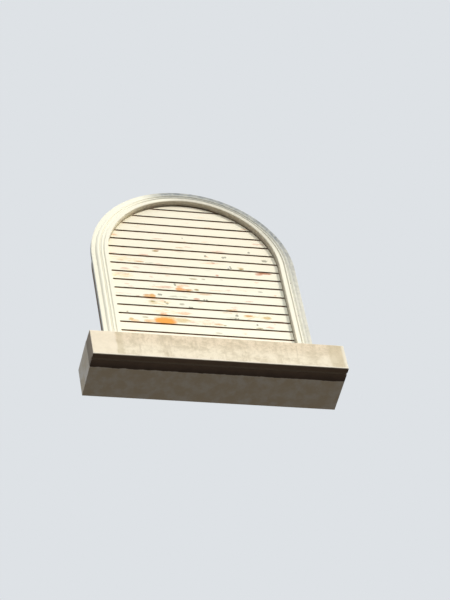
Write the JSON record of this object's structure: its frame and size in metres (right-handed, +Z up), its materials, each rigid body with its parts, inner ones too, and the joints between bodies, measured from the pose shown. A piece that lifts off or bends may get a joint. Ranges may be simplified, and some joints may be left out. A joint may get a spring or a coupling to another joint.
{
  "type": "louvred gable vent",
  "caption": "Round-headed timber louvre vent for a gable wall: moulded frame, fixed slanted slats and insect screen on a stone sill; lets air through and keeps rain out.",
  "frame": {"origin": "on the underside of the sill, below the middle of the vent, in the plane of the frame's front", "axes": "+X to the right seen from outside, +Y into the wall, +Z up"},
  "size_m": [0.692, 0.155, 0.7789],
  "materials": {
    "sill_stone": "sawn, stained by run-off",
    "painted_timber": "weathered cream paint",
    "slat_paint": "weathered cream paint, flaked to bare wood in places",
    "bare_timber": "bare, darkened with age",
    "screen_wire": "dull galvanised wire",
    "steel_fixings": "dull steel"
  },
  "bodies": {
    "root": {"stone_sill": "sill_stone", "jamb_left": "painted_timber", "jamb_right": "painted_timber", "head_left": "painted_timber", "head_right": "painted_timber", "moulding_left": "painted_timber", "moulding_right": "painted_timber", "moulding_arch": "painted_timber", "bottom_rail": "painted_timber", "slat_01": "slat_paint", "slat_02": "slat_paint", "slat_03": "slat_paint", "slat_04": "slat_paint", "slat_05": "slat_paint", "slat_06": "slat_paint", "slat_07": "slat_paint", "slat_08": "slat_paint", "slat_09": "slat_paint", "slat_10": "slat_paint", "slat_11": "slat_paint", "slat_12": "slat_paint", "slat_13": "slat_paint", "slat_14": "slat_paint", "slat_15": "slat_paint", "slat_16": "slat_paint", "slat_17": "slat_paint", "slat_18": "slat_paint", "batten_left": "bare_timber", "batten_right": "bare_timber", "batten_bottom": "bare_timber", "batten_head": "bare_timber", "loose_tenons": "bare_timber", "insect_screen": "screen_wire", "moulding_brads": "steel_fixings", "batten_brads": "steel_fixings"}
  },
  "joints": []
}
